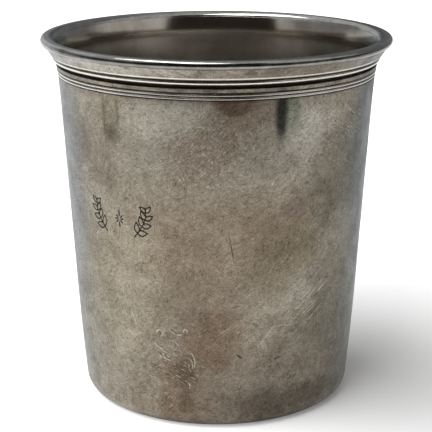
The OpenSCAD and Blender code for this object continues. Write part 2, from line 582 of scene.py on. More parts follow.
        # The light rings paint highlights as well as rubbing
        rub_and_highlight = graph.product(self.rings(graph, solid, RUB_AND_HIGHLIGHT_LINES), self.RUB_AND_HIGHLIGHT_SHARE)
        colour = graph.mix(rub_and_highlight, colour, RUB_AND_HIGHLIGHT_TINT.linear())
        dull = graph.product(soot_and_shade, self.SOOT_AND_SHADE_ROUGHNESS)
        rough = graph.math("ADD", self.roughness_at(graph, solid), dull, clamp=True)
        height = graph.math("SUBTRACT", graph.product(grain, self.GRAIN_RELIEF), pits)
        relief = graph.node("ShaderNodeBump", {
            "Strength": self.bump,
            "Distance": self.RELIEF * MM,
            "Height": height,
        })
        shader = graph.node("ShaderNodeBsdfPrincipled", {
            "Metallic": 1.0,
            "Specular Tint": self.edge_tint.linear(),
            "Base Color": colour,
            "Roughness": rough,
            "Normal": relief.outputs[0],
        })
        graph.node("ShaderNodeOutputMaterial", {"Surface": shader.outputs[0]})
        return made


RUB_AND_HIGHLIGHT_TINT = Tint(240, 236, 228)
BROWN = Tint(126, 102, 82)
UMBER = Tint(84, 62, 44)
RUST = Tint(104, 82, 64)
OLIVE = Tint(112, 103, 82)
MOSS = Tint(92, 88, 74)
STRAW = Tint(174, 166, 140)
STONE = Tint(168, 164, 152)
DUSK = Tint(78, 69, 59)
DARK_REFLECTION = Tint(44, 44, 44)
VERDIGRIS = Tint(104, 116, 96)

WALL_STAINS_AND_SHADE = (
    TintPatch(0.0, 61.0, 22.0, 9.0, 0.0, STONE, 0.45),
    TintPatch(1.0, 62.0, 10.0, 6.0, 40.0, BROWN, 0.38),
    TintPatch(-12.0, 57.5, 6.0, 4.0, 40.0, BROWN, 0.2),
    TintPatch(5.0, 69.4, 5.0, 1.3, 0.0, UMBER, 0.75),
    TintPatch(9.0, 66.5, 6.0, 3.0, 0.0, RUST, 0.22),
    TintPatch(-18.0, 67.0, 8.0, 4.0, 10.0, Tint(186, 182, 168), 0.55),
    TintPatch(-38.5, 67.0, 3.0, 4.0, 0.0, OLIVE, 0.35, 0.4),
    TintPatch(0.0, 42.0, 17.0, 12.0, 0.0, Tint(152, 133, 113), 0.35),
    TintPatch(23.0, 38.0, 9.0, 6.0, 20.0, OLIVE, 0.55),
    TintPatch(-2.0, 19.0, 8.0, 6.0, 30.0, RUST, 0.6),
    TintPatch(-16.0, 12.0, 2.6, 6.0, 70.0, RUST, 0.55),
    TintPatch(-14.0, 5.0, 6.0, 4.0, 0.0, RUST, 0.45),
    TintPatch(32.0, 5.0, 15.0, 3.6, 0.0, DUSK, 0.7),
    TintPatch(52.0, 52.0, 8.0, 10.0, 0.0, MOSS, 0.55),
    TintPatch(48.0, 24.0, 8.0, 11.0, 0.0, MOSS, 0.6),
    TintPatch(33.0, 29.5, 4.0, 3.4, 0.0, STONE, 0.4),
    TintPatch(33.0, 64.0, 5.0, 6.0, 0.0, Tint(186, 183, 174), 0.5),
    TintPatch(8.0, 11.0, 14.0, 5.5, 0.0, DUSK, 0.34),
    TintPatch(6.0, 4.0, 12.0, 3.0, 0.0, DUSK, 0.3),
    # The next three patches are painted shade on the right edge and a painted cool reflection on the left
    # edge
    TintPatch(72.0, 52.0, 8.5, 28.0, 0.0, Tint(103, 99, 93), 0.8),
    TintPatch(-72.0, 54.0, 8.0, 24.0, 0.0, Tint(130, 132, 135), 0.45),
    TintPatch(71.0, 61.0, 8.0, 13.0, 0.0, Tint(90, 86, 80), 0.45),
    TintPatch(-12.5, 11.6, 1.5, 2.5, 0.0, DUSK, 0.6, 0.7),
    TintPatch(-12.0, 6.2, 1.4, 2.6, 0.0, DUSK, 0.55, 0.7),
    TintPatch(-16.0, 13.2, 2.6, 1.2, 30.0, DUSK, 0.35, 0.7),
    TintPatch(-34.0, 76.4, 19.0, 1.7, 0.0, Tint(196, 192, 182), 0.5),
    TintPatch(-8.0, 75.9, 3.4, 0.7, 0.0, DUSK, 0.55, 0.8),
    TintPatch(9.5, 75.8, 1.0, 0.6, 0.0, DUSK, 0.6, 0.7),
    TintPatch(-2.0, 72.3, 1.6, 0.4, 0.0, UMBER, 0.6, 0.7),
    TintPatch(-37.0, 32.0, 10.0, 13.0, 0.0, STRAW, 0.25),
)

WALL_SCUFFS = (
    Scuff(38.0, 27.0, 9.0, 6.0, 32.0, 5.0, 0.2, 0.12),
    Scuff(4.0, 22.0, 9.0, 4.0, 36.0, 4.0, 0.2, 0.08),
    Scuff(18.0, 20.0, 5.0, 5.0, 52.0, 6.0, 0.2, 0.1),
    Scuff(-15.0, 14.0, 7.0, 5.0, 155.0, 2.0, 0.22, 0.1),
    Scuff(-22.0, 7.0, 5.0, 4.0, 50.0, 2.4, 0.2, 0.08),
    Scuff(-34.0, 26.0, 9.0, 6.0, 105.0, 3.0, 0.18, 0.07),
    Scuff(-4.0, 59.0, 13.0, 10.0, 50.0, 1.4, 0.18, 0.13),
    Scuff(-6.0, 60.0, 13.0, 9.0, 128.0, 1.1, 0.18, 0.1),
    Scuff(52.0, 63.0, 8.0, 5.0, 150.0, 3.0, 0.2, 0.1),
)

LIGHT_LINE = Tint(205, 199, 186)
DARK_LINE = Tint(64, 56, 48)
CUT_LINE = Tint(44, 39, 34)

WALL_SCRAPES = (
    Scrape(-22.2, 21.1, 0.7, 60.0, 150.0, 0.24, 0.5),
    Scrape(-14.5, 23.8, 2.6, 250.0, 40.0, 0.2, 0.55),
    Scrape(-11.8, 22.1, 0.4, 90.0, 170.0, 0.26, 0.45),
    Scrape(-21.4, 19.6, 1.8, 240.0, 45.0, 0.2, 0.55),
    Scrape(-19.6, 18.7, 1.7, 235.0, 50.0, 0.18, 0.5),
    Scrape(-20.4, 17.5, 1.8, 245.0, 45.0, 0.2, 0.55),
    Scrape(-18.4, 16.9, 1.6, 230.0, 50.0, 0.18, 0.5),
    Scrape(-17.4, 18.2, 1.5, 60.0, 50.0, 0.18, 0.45),
    Scrape(-15.4, 16.4, 1.4, 80.0, 60.0, 0.18, 0.45),
    Scrape(-13.4, 15.2, 2.9, 8.0, 42.0, 0.22, 0.5),
    Scrape(-12.0, 14.6, 1.6, 20.0, 60.0, 0.18, 0.4),
    Scrape(-25.2, 14.8, 4.0, 262.0, 14.0, 0.2, 0.45),
    Scrape(-20.6, 10.6, 3.4, 122.0, 22.0, 0.18, 0.4),
    Scrape(-12.8, 9.6, 1.3, 30.0, 55.0, 0.2, 0.4),
    Scrape(-6.6, 14.4, 2.4, 195.0, 26.0, 0.16, 0.35),
    Scrape(26.0, 19.6, 3.0, 95.0, 30.0, 0.16, 0.35),
    Scrape(30.0, 19.0, 3.4, 110.0, 22.0, 0.16, 0.3),
    Scrape(-29.0, 79.6, 5.0, 264.0, 14.0, 0.16, 0.5),
)

WALL_LINES = (
    # A dark streak of painted reflection on the upper wall, right of the front
    TintPatch(22.2, 67.6, 1.35, 5.4, 0.0, DARK_REFLECTION, 0.95, 0.5),
    TintPatch(26.6, 67.6, 1.5, 4.0, 0.0, VERDIGRIS, 0.55, 0.6),
    TintPatch(5.4, 40.2, 3.0, 0.11, 101.0, DARK_LINE, 0.8, 0.5),
    TintPatch(8.8, 16.6, 0.8, 0.2, 140.0, DARK_LINE, 1.0, 0.5),
    TintPatch(24.8, 15.4, 0.9, 0.16, 10.0, DARK_LINE, 0.9, 0.5),
    TintPatch(19.9, 53.4, 0.7, 0.12, 60.0, LIGHT_LINE, 0.8, 0.5),
    TintPatch(18.5, 20.2, 3.2, 0.07, 52.0, LIGHT_LINE, 0.3, 0.5),
    TintPatch(20.6, 21.4, 2.6, 0.07, 50.0, LIGHT_LINE, 0.28, 0.5),
    TintPatch(36.4, 27.4, 4.4, 0.08, 33.0, LIGHT_LINE, 0.35, 0.5),
    TintPatch(41.1, 29.6, 3.4, 0.08, 40.0, LIGHT_LINE, 0.35, 0.5),
    TintPatch(41.0, 23.8, 3.4, 0.08, 35.0, LIGHT_LINE, 0.3, 0.5),
    TintPatch(39.0, 25.6, 2.6, 0.08, 30.0, LIGHT_LINE, 0.3, 0.5),
    TintPatch(3.3, 22.5, 1.9, 0.08, 32.0, LIGHT_LINE, 0.3, 0.5),
    TintPatch(-33.2, 23.3, 1.3, 0.12, 115.0, LIGHT_LINE, 0.6, 0.5),
    TintPatch(-41.6, 67.2, 0.35, 3.4, 0.0, MOSS, 0.55, 0.7),
    TintPatch(-35.4, 67.0, 0.35, 3.6, 0.0, MOSS, 0.6, 0.7),
    TintPatch(-38.6, 62.4, 1.9, 1.7, 0.0, DUSK, 0.6, 0.7),
    TintPatch(55.0, 65.6, 2.6, 0.09, 150.0, LIGHT_LINE, 0.4, 0.5),
    TintPatch(57.5, 64.6, 2.0, 0.1, 160.0, DARK_LINE, 0.6, 0.5),
)


@dataclass(frozen=True)
class WallFinish(SilverFinish):
    """The wall's silver, stained and scuffed outside with a few patches of painted shade and reflection, cut
    by the graver, and smoother inside.
    """

    inside_pale: Tint = Tint(208, 201, 190)
    inside_deep: Tint = Tint(182, 174, 162)
    inside_shade: float = 0.8
    bore_roughness: float = 0.15
    inside_roughness: float = 0.32
    stains_and_shade: tuple[TintPatch, ...] = WALL_STAINS_AND_SHADE
    lines: tuple[TintPatch, ...] = WALL_LINES
    scuffs: tuple[Scuff, ...] = WALL_SCUFFS
    scrapes: tuple[Scrape, ...] = WALL_SCRAPES

    # How fine and how far the stains' edges are frayed
    FRAYS_PER_MM: ClassVar[float] = 0.3
    FRAY_REACH: ClassVar[tuple[float, float, float]] = (7.0, 7.0, 0.0)
    SCUFF_SHARE: ClassVar[float] = 0.55
    SCUFF_SHIFT: ClassVar[float] = 11.0
    # The share of the cut's depth from which it is fully dark
    CUT_DARK_FROM: ClassVar[float] = 0.45
    INSIDE_BLOTCH: ClassVar[float] = 9.0
    INSIDE_GRAIN: ClassVar[float] = 0.12
    # The heights between which the inside brightens, and those between which it gets smoother
    SHADE_HEIGHTS: ClassVar[Pair] = (71.0, 75.5)
    BORE_HEIGHTS: ClassVar[Pair] = (73.0, 75.0)

    def flat(self, graph: Graph, solid: Feed, skin: Feed) -> bpy.types.NodeSocket:
        """The point on the outside as arc from the front and height, in millimetres."""
        front = math.pi * SKIN_RADIUS
        arc = graph.math("SUBTRACT", graph.parts(skin)[0], front)
        return graph.node("ShaderNodeCombineXYZ", {0: arc, 1: graph.parts(solid)[2]}).outputs[0]

    def colour(self, graph: Graph, solid: Feed, skin: Feed) -> bpy.types.NodeSocket:
        """The stained outside, with a few patches of painted shade and reflection, over the plainer inside.
        """
        outer = super().colour(graph, solid, skin)
        flat = self.flat(graph, solid, skin)
        drift = graph.node("ShaderNodeTexNoise", {"Vector": solid, "Scale": self.FRAYS_PER_MM, "Detail": 4.0})
        moved = graph.vector("SUBTRACT", drift.outputs["Color"], (0.5, 0.5, 0.5))
        frayed = graph.vector("ADD", flat, graph.vector("MULTIPLY", moved, self.FRAY_REACH))
        for tint_patch in self.stains_and_shade:
            outer = graph.mix(tint_patch.mask(graph, frayed), outer, tint_patch.tint.linear())
        for turn, scuff in enumerate(self.scuffs):
            strokes = graph.product(scuff.mask(graph, flat, self.SCUFF_SHIFT * turn), self.SCUFF_SHARE)
            outer = graph.mix(strokes, outer, LIGHT_LINE.linear())
        for line in self.lines:
            outer = graph.mix(line.mask(graph, flat), outer, line.tint.linear())
        for scrape in self.scrapes:
            outer = scrape.over(graph, flat, outer)
        cut = graph.span(graph.attribute(Mark.ENGRAVED), 0.0, self.CUT_DARK_FROM)
        outer = graph.mix(cut, outer, CUT_LINE.linear())
        clouds = graph.noise(solid, self.INSIDE_BLOTCH, detail=3.0, roughness=0.6)
        clouds = graph.span(clouds, *self.TONES)
        inner = graph.mix(clouds, self.inside_deep.linear(), self.inside_pale.linear())
        shade = graph.span(graph.parts(solid)[2], *self.SHADE_HEIGHTS, self.inside_shade, 1.0)
        inner = graph.vector("SCALE", inner, scale=shade)
        return graph.mix(graph.attribute(Mark.OUTSIDE), inner, outer)

    def grain(self, graph: Graph, place: Feed) -> bpy.types.NodeSocket:
        """The grain of wear, full outside and faint inside."""
        share = graph.span(graph.attribute(Mark.OUTSIDE), 0.0, 1.0, self.INSIDE_GRAIN, 1.0)
        return graph.product(super().grain(graph, place), share)

    def roughness_at(self, graph: Graph, solid: Feed) -> Feed:
        """Satin outside, smoother inside and smoothest in the bore of the flare."""
        satin = super().roughness_at(graph, solid)
        out = graph.attribute(Mark.OUTSIDE)
        height = graph.parts(solid)[2]
        inside = graph.span(height, *self.BORE_HEIGHTS, self.inside_roughness, self.bore_roughness)
        smooth = graph.product(graph.math("SUBTRACT", 1.0, out), inside)
        return graph.math("ADD", graph.product(satin, out), smooth)


@dataclass(frozen=True)
class TurnedOutline:
    """The section of a turned piece: radius and height of each point, in order."""

    points: np.ndarray
    closed: bool

    # The radius under which an end lies on the axis
    AXIS_REACH: ClassVar[float] = 0.01
    # The most of a stretch that one corner's curve takes up
    MOST_OF_STRETCH: ClassVar[float] = 0.45
    # The turns under which a corner is rounded in one step and in two, where others take four
    NEARLY_STRAIGHT: ClassVar[float] = 1
    GENTLE: ClassVar[float] = 6

    @classmethod
    def of_node(cls, node: str) -> "TurnedOutline":
        """Follows a construction node's section along its seam.

        Args:
            node: The node's name.

        Returns:
            The outline, closed unless it starts and ends on the axis.
        """
        net = bmesh.new()
        net.from_mesh(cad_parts[node].data)
        bmesh.ops.remove_doubles(net, verts=net.verts, dist=MERGE_REACH_M)
        near = 2 * MERGE_REACH_M
        seam = {v for v in net.verts if abs(v.co.y) < near and v.co.x > -near}
        places = {v: np.array([v.co.x, v.co.z]) / MM for v in seam}
        chains = cls._chains({v: [w for e in v.link_edges if (w := e.other_vert(v)) in seam] for v in seam})
        joined = [places[v] for v in chains.pop(0)]
        while chains:
            ends = [np.linalg.norm(joined[-1] - places[chain[i]]) for chain in chains for i in (0, -1)]
            nearest = int(np.argmin(ends))
            chain = chains.pop(nearest // 2)
            joined += [places[v] for v in (chain[::-1] if nearest % 2 else chain)]
        net.free()
        points = np.array(joined)
        on_axis = min(points[0][0], points[-1][0]) < cls.AXIS_REACH
        return cls(points, not on_axis)

    @staticmethod
    def _chains(beside: dict) -> list[list]:
        """Threads joined points into chains, the open ones from an end.

        Args:
            beside: Each point's neighbours.

        Returns:
            The chains, with the lowest point of the axis first where there is one.
        """
        chains, left = [], set(beside)
        starts = sorted(left, key=lambda v: (len(beside[v]), v.co.x, v.co.z))
        for start in starts:
            if start not in left:
                continue
            chain, here = [], start
            while here is not None:
                chain.append(here)
                left.discard(here)
                here = next((v for v in beside[here] if v in left), None)
            chains.append(chain)
        return chains

    def eased(self, soft: float, crisp: float, bend: float = 12.0) -> "TurnedOutline":
        """Rounds each corner with a short curve.

        Args:
            soft: How far a gentle bend's curve reaches.
            crisp: How far a real corner's curve reaches.
            bend: The turn that parts the two.

        Returns:
            The rounded outline.
        """
        count = len(self.points)
        rounded: list[np.ndarray] = []
        for i, here in enumerate(self.points):
            if not self.closed and i in (0, count - 1):
                rounded.append(here)
                continue
            back, ahead = self.points[i - 1] - here, self.points[(i + 1) % count] - here
            lengths = np.linalg.norm(back), np.linalg.norm(ahead)
            cosine = np.clip(-back @ ahead / (lengths[0] * lengths[1]), -1, 1)
            turn = math.degrees(math.acos(cosine))
            widest = soft if turn < bend else crisp
            reach = [min(widest, self.MOST_OF_STRETCH * length) for length in lengths]
            start, end = here + back / lengths[0] * reach[0], here + ahead / lengths[1] * reach[1]
            steps = 1 if turn < self.NEARLY_STRAIGHT else 2 if turn < self.GENTLE else 4
            for s in np.linspace(0, 1, steps + 1):
                rounded.append((1 - s) ** 2 * start + 2 * s * (1 - s) * here + s ** 2 * end)
        return TurnedOutline(np.array(rounded), self.closed)

    def divided(self, longest: Callable[[np.ndarray], float]) -> "TurnedOutline":
        """Splits long stretches.

        Args:
            longest: The longest stretch allowed about a point.

        Returns:
            The divided outline.
        """
        ends = np.roll(self.points, -1, axis=0)
        pairs = list(zip(self.points, ends))
        tail = [] if self.closed else [self.points[-1]]
        split: list[np.ndarray] = []
        for start, end in pairs if self.closed else pairs[:-1]:
            pieces = max(1, math.ceil(np.linalg.norm(end - start) / longest((start + end) / 2)))
            split += [start + (end - start) * i / pieces for i in range(pieces)]
        return TurnedOutline(np.array(split + tail), self.closed)


class LatheTree:
    """Geometry Nodes that turn an outline round the cup's axis and let its surface waver, only inwards."""

    INPUTS = (
        ("Turn Steps", "NodeSocketInt"),
        ("Path Radius", "NodeSocketFloat"),
        ("Waver", "NodeSocketFloat"),
        ("Waver Size", "NodeSocketFloat"),
        ("Seed", "NodeSocketFloat"),
        ("Finish", "NodeSocketMaterial"),
    )

    def __init__(self) -> None:
        """Builds the tree."""
        self.tree = bpy.data.node_groups.new("lathe", "GeometryNodeTree")
        self.tree.interface.new_socket("Outline", in_out="INPUT", socket_type="NodeSocketGeometry")
        self.keys = {
            name: self.tree.interface.new_socket(name, in_out="INPUT", socket_type=kind).identifier
            for name, kind in self.INPUTS
        }
        self.tree.interface.new_socket("Piece", in_out="OUTPUT", socket_type="NodeSocketGeometry")
        graph = Graph(self.tree)
        given = graph.node("NodeGroupInput").outputs
        circle = {"Resolution": given["Turn Steps"], "Radius": given["Path Radius"]}
        path = graph.node("GeometryNodeCurvePrimitiveCircle", circle, mode="RADIUS").outputs[0]
        profile = graph.node("GeometryNodeMeshToCurve", {"Mesh": given["Outline"]}).outputs[0]
        shape = graph.node("GeometryNodeCurveToMesh", {"Curve": path, "Profile Curve": profile}).outputs[0]
        for kind, inputs in (
            ("GeometryNodeMergeByDistance", {"Distance": MERGE_REACH_M}),
            ("GeometryNodeSetPosition", {"Offset": self._waver(graph, given)}),
            ("GeometryNodeRealizeInstances", {}),
            ("GeometryNodeSetMaterial", {"Material": given["Finish"]}),
            ("NodeGroupOutput", {}),
        ):
            step = graph.node(kind, {0: shape, **inputs})
            shape = step.outputs[0] if step.outputs else shape

    @staticmethod
    def _waver(graph: Graph, given: bpy.types.NodeOutputs) -> bpy.types.NodeSocket:
        """How far each point moves, towards the axis."""
        here = graph.node("GeometryNodeInputPosition").outputs[0]
        scale = graph.math("DIVIDE", 1.0, given["Waver Size"])
        form = {"Vector": here, "W": given["Seed"], "Scale": scale, "Detail": 1.0}
        cloud = graph.node("ShaderNodeTexNoise", form, noise_dimensions="4D")
        depth = graph.product(cloud.outputs[0], given["Waver"], -1.0)
        outward = graph.vector("NORMALIZE", graph.vector("MULTIPLY", here, (1.0, 1.0, 0.0)))
        return graph.vector("SCALE", outward, scale=depth)

    def turn(
        self, name: str, outline: TurnedOutline, finish: bpy.types.Material, **inputs: float
    ) -> bpy.types.Object:
        """Turns an outline into a piece.

        Args:
            name: The piece's name.
            outline: Its section.
            finish: Its material.
            inputs: The tree's other inputs by their names in lower case, lengths in millimetres.

        Returns:
            An object with a plain mesh, at the origin.
        """
        points, path_radius = outline.points, float(outline.points[:, 0].mean())
        section = bpy.data.meshes.new(name + "_section")
        edges = [(i, (i + 1) % len(points)) for i in range(len(points) - (not outline.closed))]
        places = [((r - path_radius) * MM, -z * MM, 0.0) for r, z in points]
        section.from_pydata(places, edges, [])
        lathe = bpy.data.objects.new(name + "_lathe", section)
        bpy.context.scene.collection.objects.link(lathe)
        turning = lathe.modifiers.new("turning", "NODES")
        turning.node_group = self.tree
        turning[self.keys["Turn Steps"]] = int(inputs["turn_steps"])
        turning[self.keys["Path Radius"]] = path_radius * MM
        turning[self.keys["Waver"]] = inputs["waver"] * MM
        turning[self.keys["Waver Size"]] = inputs["waver_size"] * MM
        turning[self.keys["Seed"]] = float(inputs["seed"])
        turning[self.keys["Finish"]] = finish
        graph_view = bpy.context.evaluated_depsgraph_get()
        mesh = bpy.data.meshes.new_from_object(lathe.evaluated_get(graph_view))
        bpy.data.objects.remove(lathe)
        bpy.data.meshes.remove(section)
        mesh.name = name
        piece = bpy.data.objects.new(name, mesh)
        bpy.context.scene.collection.objects.link(piece)
        return piece


class CollarShadow:
    """Where the joined pieces leave narrow grooves that get grime and painted shade."""

    def __init__(self, nodes: Iterable[str], reach: float = 0.55, step: float = 0.02) -> None:
        """Finds the outer line of all pieces together and the line that closes its grooves.

        Args:
            nodes: The construction nodes that show outside.
            reach: Half the height of the widest groove that counts.
            step: The spacing of the heights that are looked at.
        """
        high = max(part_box(node)[1].z for node in nodes) / MM
        self.heights = np.arange(0.0, high, step)
        self.line = np.zeros_like(self.heights)
        for node in nodes:
            outline = TurnedOutline.of_node(node)
            self._raise_to(outline)
        span = int(reach / step)
        self.closed = self._slide(self._slide(self.line, span, np.max), span, np.min)

    def _raise_to(self, outline: TurnedOutline) -> None:
        """Takes in one piece's outer line."""
        points = outline.points
        ends = np.roll(points, -1, axis=0)
        for (r0, z0), (r1, z1) in zip(points, ends):
            low, high = min(z0, z1), max(z0, z1)
            inside = (self.heights >= low) & (self.heights <= high)
            if high - low > 1e-6 and inside.any():
                radius = r0 + (r1 - r0) * (self.heights[inside] - z0) / (z1 - z0)
                self.line[inside] = np.maximum(self.line[inside], radius)

    @staticmethod
    def _slide(values: np.ndarray, span: int, pick: Callable) -> np.ndarray:
        """Picks the largest or smallest value within a span of each place."""
        padded = np.pad(values, span, mode="edge")
        windows = np.lib.stride_tricks.sliding_window_view(padded, 2 * span + 1)
        return pick(windows, axis=1)

    def depth(self, radius: np.ndarray, height: np.ndarray) -> np.ndarray:
        """How deep points lie under the closing line, in millimetres."""
        return np.interp(height, self.heights, self.closed) - radius


def around(places: np.ndarray) -> tuple[np.ndarray, np.ndarray]:
    """The radius of each point, and its azimuth in radians."""
    return np.hypot(places[:, 0], places[:, 1]), np.arctan2(places[:, 0], -places[:, 1])


@dataclass(frozen=True)
class Dent:
    """A shallow ding, soft at its edge."""

    azimuth: float
    height: float
    wide: float
    tall: float
    turn: float
    depth: float


@dataclass
class TurnedPiece:
    """A piece of the cup that was turned or drawn, with its section from the construction."""

    node: str
    finish: SilverFinish
    turn_steps: int
    soft_reach: float = 2.0
    crisp_reach: float = 0.05
    longest: float = 0.7
    waver: float = 0.02
    waver_size: float = 12.0
    seed: float = 1.0
    dents: tuple[Dent, ...] = ()
    piece: Optional[bpy.types.Object] = None

    # The depth from which a groove gets grime and painted shade, over how much more it fills, and where it is
    # no groove
    SOOT_AND_SHADE_DEPTHS: ClassVar[tuple[float, float, float]] = (0.05, 0.09, 0.8)
    # The heights between which grooves get grime and painted shade, each with the height over which it fades
    SOOT_AND_SHADE_LOW: ClassVar[Pair] = (70.8, 0.1)
    SOOT_AND_SHADE_HIGH: ClassVar[Pair] = (77.5, 0.3)
    # How many points are matched to the outline at a time
    BLOCK: ClassVar[int] = 4000

    def stretch(self, place: np.ndarray) -> float:
        """The longest stretch of the section about a point."""
        return self.longest

    def build(self, lathe: LatheTree, shadow: CollarShadow) -> bpy.types.Object:
        """Makes the piece in place of its construction node.

        Args:
            lathe: The tree that turns its section.
            shadow: Where grime and painted shade lie in the grooves.

        Returns:
            The finished piece.
        """
        outline = TurnedOutline.of_node(self.node).eased(self.soft_reach, self.crisp_reach)
        outline = outline.divided(self.stretch)
        self.piece = lathe.turn(
            self.node + "_worn",
            outline,
            self.finish.material(),
            turn_steps=self.turn_steps,
            waver=self.waver,
            waver_size=self.waver_size,
            seed=self.seed,
        )
        self.face_out()
        self.refine()
        self.unroll(outline)
        self.mark(shadow)
        self.wear()
        self.settle()
        return self.piece

    def face_out(self) -> None:
        """Turns the faces outwards, so that cuts and dents go into the metal."""
        net = bmesh.new()
        net.from_mesh(self.piece.data)
        bmesh.ops.recalc_face_normals(net, faces=net.faces)
        net.to_mesh(self.piece.data)
        net.free()

    def refine(self) -> None:
        """Adds points where fine work comes."""

    def places(self) -> np.ndarray:
        """The mesh's points, in millimetres."""
        flat = np.empty(len(self.piece.data.vertices) * 3, np.float32)
        self.piece.data.vertices.foreach_get("co", flat)
        return flat.reshape(-1, 3).astype(float) / MM

    def normals(self) -> np.ndarray:
        """The mesh's point normals."""
        flat = np.empty(len(self.piece.data.vertices) * 3, np.float32)
        self.piece.data.vertex_normals.foreach_get("vector", flat)
        return flat.reshape(-1, 3).astype(float)

    def move(self, places: np.ndarray) -> None:
        """Puts the mesh's points at new places, given in millimetres."""
        self.piece.data.vertices.foreach_set("co", (places * MM).astype(np.float32).ravel())
        self.piece.data.update()

    def write(self, mark: Mark, values: np.ndarray) -> None:
        """Stores one value for each point."""
        layer = self.piece.data.attributes.new(mark.value, "FLOAT", "POINT")
        layer.data.foreach_set("value", values.astype(np.float32))

    def unroll(self, outline: TurnedOutline) -> None:
        """Lays the surface flat in the UV map: arc across, and the way along the section up."""
        mesh, points = self.piece.data, outline.points
        places = self.places()
        radius, turn = around(places)
        ways = np.concatenate([[0.0], np.cumsum(np.linalg.norm(np.diff(points, axis=0), axis=1))])
        tangents = np.gradient(points, axis=0)
        tangents /= np.maximum(np.linalg.norm(tangents, axis=1), 1e-9)[:, None]
        nearest = np.empty(len(places), int)
        section = np.stack([radius, places[:, 2]], axis=1)
        for low in range(0, len(section), self.BLOCK):
            block = section[low : low + self.BLOCK]
            apart = ((block[:, None] - points[None]) ** 2).sum(axis=2)
            nearest[low : low + self.BLOCK] = np.argmin(apart, axis=1)
        corners = np.empty(len(mesh.loops), np.int32)
        mesh.loops.foreach_get("vertex_index", corners)
        angles = turn[corners]
        for face in mesh.polygons:
            span = slice(face.loop_start, face.loop_start + face.loop_total)
            if angles[span].max() - angles[span].min() > math.pi:
                angles[span] = np.where(angles[span] < 0, angles[span] + 2 * math.pi, angles[span])
        across = (angles + math.pi) * SKIN_RADIUS / SKIN_SPAN
        along = ways[nearest] + ((section - points[nearest]) * tangents[nearest]).sum(axis=1)
        layer = mesh.uv_layers.new(name="skin")
        flat = np.stack([across, along[corners] / SKIN_SPAN], axis=1)
        layer.data.foreach_set("uv", flat.astype(np.float32).ravel())

    def mark(self, shadow: CollarShadow) -> None:
        """Stores where grime and painted shade lie in the grooves, and which side is the outside."""
        places = self.places()
        depth = shadow.depth(around(places)[0], places[:, 2])
        shallow, more, deepest = self.SOOT_AND_SHADE_DEPTHS
        high = np.clip((self.SOOT_AND_SHADE_HIGH[0] - places[:, 2]) / self.SOOT_AND_SHADE_HIGH[1], 0, 1)
        low = np.clip((places[:, 2] - self.SOOT_AND_SHADE_LOW[0]) / self.SOOT_AND_SHADE_LOW[1], 0, 1)
        soot_and_shade = np.clip((depth - shallow) / more, 0, 1) * (depth < deepest) * high * low
        self.write(Mark.CREVICE, soot_and_shade * self.outward(places))
        self.write(Mark.OUTSIDE, self.outward(places))

    def outward(self, places: np.ndarray) -> np.ndarray:
        """1 on the outside of the piece and 0 inside it."""
        return np.ones(len(places))

    def wear(self) -> None:
        """Presses the dents in."""
        places, normals = self.places(), self.normals()
        arc, outside = around(places)[1] * SKIN_RADIUS, self.outward(places)
        for dent in self.dents:
            across = arc - math.radians(dent.azimuth) * SKIN_RADIUS
            up = places[:, 2] - dent.height
            lean = math.radians(dent.turn)
            u = (across * math.cos(lean) + up * math.sin(lean)) / (dent.wide / 2)
            v = (up * math.cos(lean) - across * math.sin(lean)) / (dent.tall / 2)
            press = np.clip(1 - (u * u + v * v), 0, None) ** 2 * outside
            places -= normals * (press * dent.depth)[:, None]
        self.move(places)

    def settle(self) -> None:
        """Faces outwards what was split, smooths the shading and puts the piece in its node's place."""
        self.face_out()
        self.piece.data.shade_smooth()
        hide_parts(self.node)
        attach(self.piece, BODY)


@dataclass
class LipWire(TurnedPiece):
    """The heavy wire that caps the edge of the flare."""

    def outward(self, places: np.ndarray) -> np.ndarray:
        """1 on the half of the lip that faces away from the axis."""
        radius = around(places)[0]
        return (radius > (radius.min() + radius.max()) / 2).astype(float)


@dataclass(frozen=True)
class GraverCut:
    """One cut of the graver: a line that swells and tapers."""

    points: tuple[tuple[float, float], ...]
    widths: tuple[float, ...]

    def depth(self, across: np.ndarray, up: np.ndarray) -> np.ndarray:
        """How deep the cut is at points of the flat, from 0 to 1."""
        deepest = np.zeros_like(across)
        for (x0, y0), (x1, y1), w0, w1 in zip(self.points, self.points[1:], self.widths, self.widths[1:]):
            dx, dy = x1 - x0, y1 - y0
            share = np.clip(((across - x0) * dx + (up - y0) * dy) / (dx * dx + dy * dy), 0, 1)
            away = np.hypot(across - x0 - share * dx, up - y0 - share * dy)
            half = (w0 + (w1 - w0) * share) / 2
            deepest = np.maximum(deepest, 1 - away / np.maximum(half, 1e-3))
        return deepest


